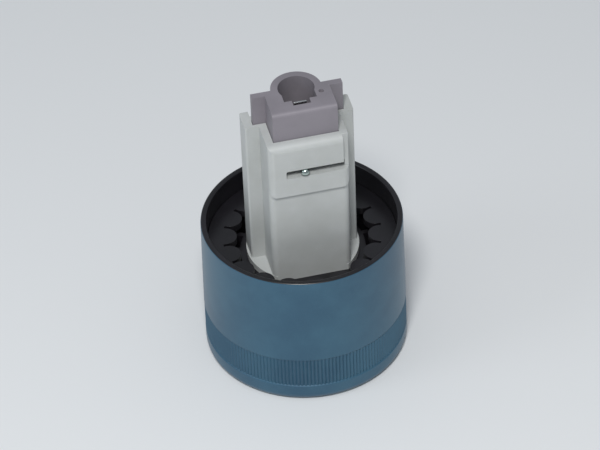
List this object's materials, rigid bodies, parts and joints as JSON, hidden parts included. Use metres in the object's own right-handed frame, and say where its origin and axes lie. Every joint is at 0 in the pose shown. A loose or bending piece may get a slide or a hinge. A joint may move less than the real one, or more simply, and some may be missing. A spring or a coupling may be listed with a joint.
{
  "type": "retractable cooker control knob",
  "caption": "Push-to-retract cooker control knob: painted skirt with knurled band, ribbed inner carrier, latch housing with slotted pad, and sprung slider with a clip-lined shaft socket.",
  "frame": {"origin": "centre of the front face, on the shaft axis", "axes": "+Z along the shaft axis, away from the front face towards the cooker; -Y towards the slotted front of the mechanism housing"},
  "size_m": [0.0467, 0.0466, 0.073],
  "materials": {
    "skirt_paint": "metallic blue-grey paint on plastic, satin gloss",
    "carrier_black": "moulded black plastic, slight gloss",
    "housing_white": "natural white acetal, waxy",
    "slider_grey": "grey acetal, matt, with a fine bloom",
    "clip_steel": "bright spring steel strip",
    "spring_steel": "drawn spring wire",
    "pin_steel": "polished and greased"
  },
  "bodies": {
    "knob_body": {"knob_shell": "skirt_paint", "inner_carrier": "carrier_black", "mechanism_housing": "housing_white", "compression_spring": "spring_steel"},
    "slider_body": {"slider": "slider_grey", "shaft_clip": "clip_steel"},
    "pin_body": {"cam_pin": "pin_steel"}
  },
  "joints": [
    {"name": "slider_travel", "type": "slide", "parent": "knob_body", "child": "slider_body", "axis": [0, 0, 1], "range_m": [-0.0018, 0.02], "deforming": ["compression_spring"]},
    {"name": "pin_shuttle", "type": "slide", "parent": "knob_body", "child": "pin_body", "axis": [1, 0, 0], "range_m": [-0.0005, 0.0046]}
  ],
  "couplings": [
    {"joint": "pin_shuttle", "follows": "slider_travel", "ratio": 0.225}
  ]
}
